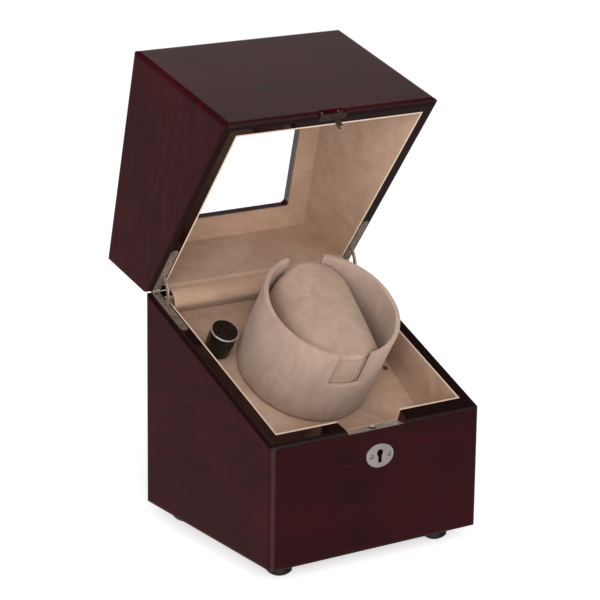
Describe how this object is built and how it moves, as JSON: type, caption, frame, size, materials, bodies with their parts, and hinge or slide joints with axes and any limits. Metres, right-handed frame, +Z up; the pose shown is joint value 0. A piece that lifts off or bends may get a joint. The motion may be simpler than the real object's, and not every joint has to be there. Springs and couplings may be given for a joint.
{
  "type": "watch winder box",
  "caption": "Lacquered wooden watch winder box with a hinged window lid, held open over a sloped suede deck with a motor-turned cup and its lift-out cushion.",
  "frame": {"origin": "on the floor, under the middle of the case (not counting the open lid)", "axes": "+Z up, +Y to the back, where the lid is hinged, +X to the right of someone facing the lock"},
  "size_m": [0.165, 0.2097, 0.3215],
  "materials": {
    "lacquered_wood": "high gloss dark burgundy lacquer with a faint straight grain",
    "lining_suede": "mottled tan suede cloth",
    "cup_suede": "smooth rose beige suede cloth",
    "cushion_suede": "padded beige suede cloth",
    "window_clear": "clear and polished",
    "bare_wood": "plain and unfinished",
    "nickel": "polished nickel",
    "brushed_nickel": "brushed nickel",
    "chrome_trim": "polished",
    "steel": "satin",
    "black_steel": "blackened",
    "black_gloss": "gloss black",
    "black_plastic": "matt black",
    "brass": "machined",
    "gear_plastic": "satin white",
    "painted_frame": "satin grey",
    "board": "green circuit board",
    "lead_rubber": "matt insulation"
  },
  "bodies": {
    "base": {"base_left_panel": "lacquered_wood", "base_right_panel": "lacquered_wood", "base_front_panel": "lacquered_wood", "base_back_panel": "lacquered_wood", "base_bottom_panel": "lacquered_wood", "base_lining_left": "lining_suede", "base_lining_right": "lining_suede", "base_lining_front": "lining_suede", "base_lining_back": "lining_suede", "lining_flap": "lining_suede", "feet": "black_gloss", "deck_panel": "lining_suede", "deck_rails": "bare_wood", "deck_screws": "black_steel", "hinge_base_leaf_left": "nickel", "hinge_base_leaf_right": "nickel", "hinge_pins": "nickel", "stay_arm_left": "nickel", "stay_arm_right": "nickel", "hinge_base_screws": "nickel", "lock_case": "steel", "lock_plate": "brushed_nickel", "escutcheon": "brushed_nickel", "escutcheon_pins": "nickel", "rotary_switch": "black_plastic", "spindle_bush": "brass", "mechanism_frame": "painted_frame", "gear_motor": "steel", "motor_screws": "steel", "circuit_board": "board", "power_inlet": "black_plastic", "wiring": "lead_rubber"},
    "lid": {"lid_left_panel": "lacquered_wood", "lid_right_panel": "lacquered_wood", "lid_front_panel": "lacquered_wood", "lid_back_panel": "lacquered_wood", "lid_top_panel": "lacquered_wood", "lid_lining_left": "lining_suede", "lid_lining_right": "lining_suede", "lid_lining_front": "lining_suede", "lid_lining_back": "lining_suede", "lid_lining_top": "lining_suede", "window_pane": "window_clear", "hinge_lid_leaf_left": "nickel", "hinge_lid_leaf_right": "nickel", "hinge_lid_screws": "nickel", "lid_catch": "nickel", "lid_catch_screws": "nickel"},
    "cup": {"cup_shell": "cup_suede", "cup_floor": "cup_suede", "cup_screw": "steel", "spindle": "steel", "drive_gear": "gear_plastic", "spindle_clip": "steel"},
    "cushion": {"watch_cushion": "cushion_suede"},
    "knob": {"control_knob": "black_gloss", "knob_ring": "chrome_trim", "switch_shaft": "steel"},
    "pinion": {"motor_pinion": "brass"},
    "bolt": {"lock_bolt": "brass"}
  },
  "joints": [
    {"name": "lid_hinge", "type": "hinge", "parent": "base", "child": "lid", "pos_m": [0, 0.07364, 0.16095], "axis": [-1, 0, 0], "range_deg": [-76, 0], "deforming": ["lining_flap"]},
    {"name": "cup_spin", "type": "hinge", "parent": "base", "child": "cup", "pos_m": [0.0054, 0.01887, 0.10695], "axis": [0, -0.5446, 0.8387], "continuous": true},
    {"name": "pinion_spin", "type": "hinge", "parent": "base", "child": "pinion", "pos_m": [0.0054, -0.00662, 0.0904], "axis": [0, -0.5446, 0.8387], "continuous": true},
    {"name": "cushion_lift", "type": "slide", "parent": "cup", "child": "cushion", "axis": [0, -0.5446, 0.8387], "range_m": [0, 0.07]},
    {"name": "knob_turn", "type": "hinge", "parent": "base", "child": "knob", "pos_m": [-0.048, 0.04302, 0.12264], "axis": [0, -0.5446, 0.8387], "range_deg": [-60, 60]},
    {"name": "bolt_slide", "type": "slide", "parent": "base", "child": "bolt", "axis": [1, 0, 0], "range_m": [0, 0.005]}
  ],
  "couplings": [
    {"joint": "pinion_spin", "follows": "cup_spin", "ratio": -3.75}
  ]
}
